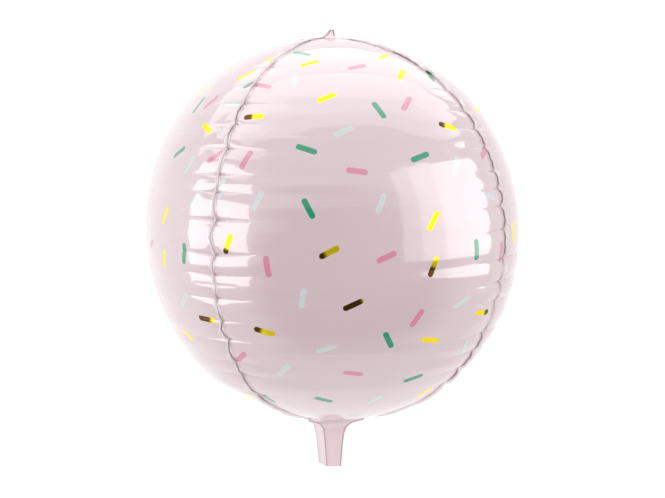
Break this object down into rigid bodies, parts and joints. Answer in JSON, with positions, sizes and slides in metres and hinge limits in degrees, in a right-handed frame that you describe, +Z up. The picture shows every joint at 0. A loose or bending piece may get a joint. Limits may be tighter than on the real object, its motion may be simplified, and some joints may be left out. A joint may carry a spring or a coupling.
{
  "type": "foil balloon",
  "caption": "Blown-up foil ball balloon of welded panels, with pleated seam flanges, a small spike at the apex and an open filling neck, lying on a small flat spot.",
  "frame": {"origin": "centre of the flat spot that the balloon lies on, under the middle of its back panel", "axes": "+Y along the balloon's axis from the neck to the apex, +Z up through the front panel's middle"},
  "size_m": [0.3812, 0.4617, 0.3792],
  "materials": {
    "pink_foil": "satin pearl foil film, printed with sprinkles"
  },
  "bodies": {
    "root": {"front_panel": "pink_foil", "right_panel": "pink_foil", "back_panel": "pink_foil", "left_panel": "pink_foil"}
  },
  "joints": []
}
